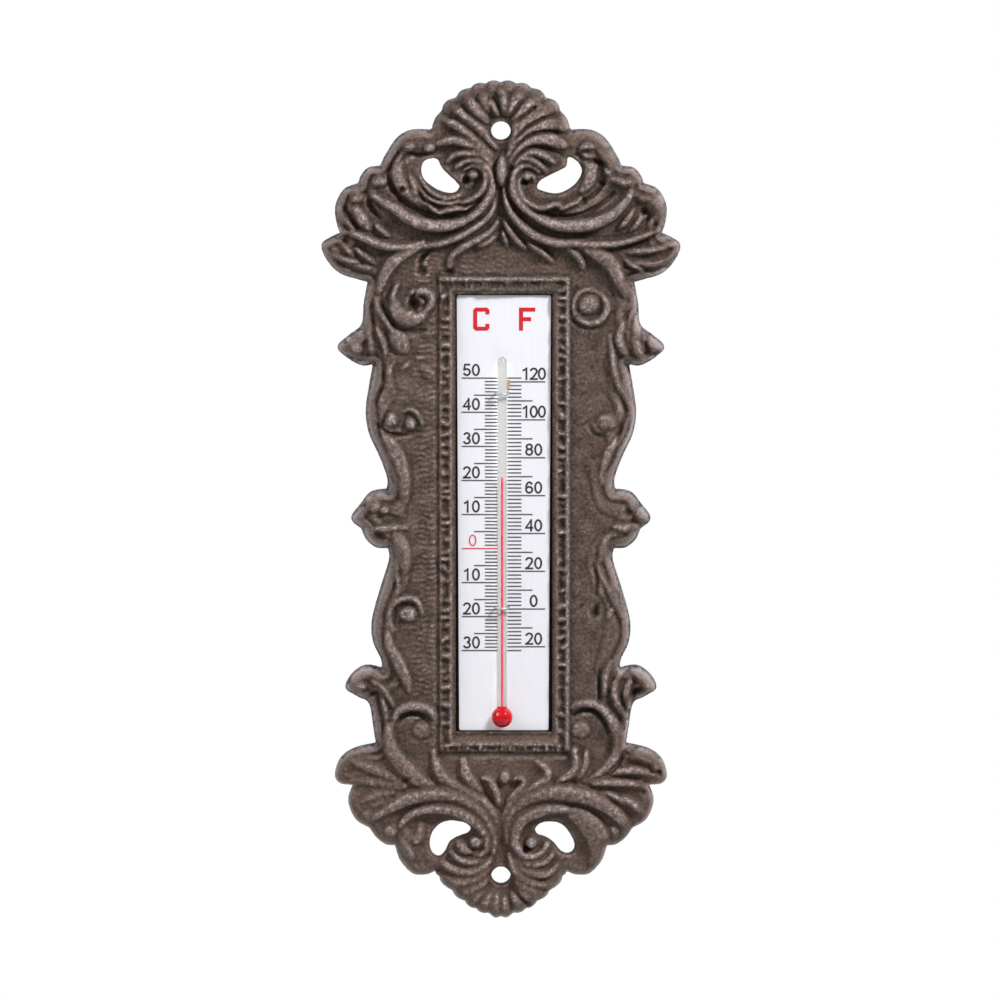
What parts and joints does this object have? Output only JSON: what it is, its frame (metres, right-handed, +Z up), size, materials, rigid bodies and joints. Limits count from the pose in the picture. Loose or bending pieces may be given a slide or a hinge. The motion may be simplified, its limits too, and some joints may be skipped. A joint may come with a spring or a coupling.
{
  "type": "wall thermometer",
  "caption": "Cast-iron scrollwork wall frame with a printed Celsius and Fahrenheit plate and a red spirit tube that reads air temperature.",
  "frame": {"origin": "axis of the upper screw hole on the flat back face", "axes": "+Z up along the thermometer, front faces -Y, +X to the right as read"},
  "size_m": [0.119, 0.012, 0.2806],
  "materials": {
    "cast_iron": "brown, peened, worn highlights",
    "plate_white": "smooth white",
    "foam_pad": "matte foam tape",
    "print_dark": "printed ink",
    "print_red": "printed ink",
    "glass": "clear drawn glass",
    "spirit_red": "dyed spirit",
    "clip_wire": "drawn wire",
    "cement": "set cement"
  },
  "bodies": {
    "thermometer": {"cast_frame": "cast_iron", "scale_plate": "plate_white", "upper_pad": "foam_pad", "lower_pad": "foam_pad", "celsius_lines": "print_dark", "celsius_figures": "print_dark", "fahrenheit_lines": "print_dark", "fahrenheit_figures": "print_dark", "zero_mark": "print_red", "unit_letters": "print_red", "glass_tube": "glass", "bulb_spirit": "spirit_red", "spirit_thread": "spirit_red", "upper_clip": "clip_wire", "lower_clip": "clip_wire", "tube_cement": "cement"},
    "spirit_column": {"spirit_surface": "spirit_red"}
  },
  "joints": [
    {"name": "spirit_level", "type": "slide", "parent": "thermometer", "child": "spirit_column", "axis": [0, 0, 1], "range_m": [-0.05814, 0.03306], "deforming": ["spirit_thread"]}
  ]
}
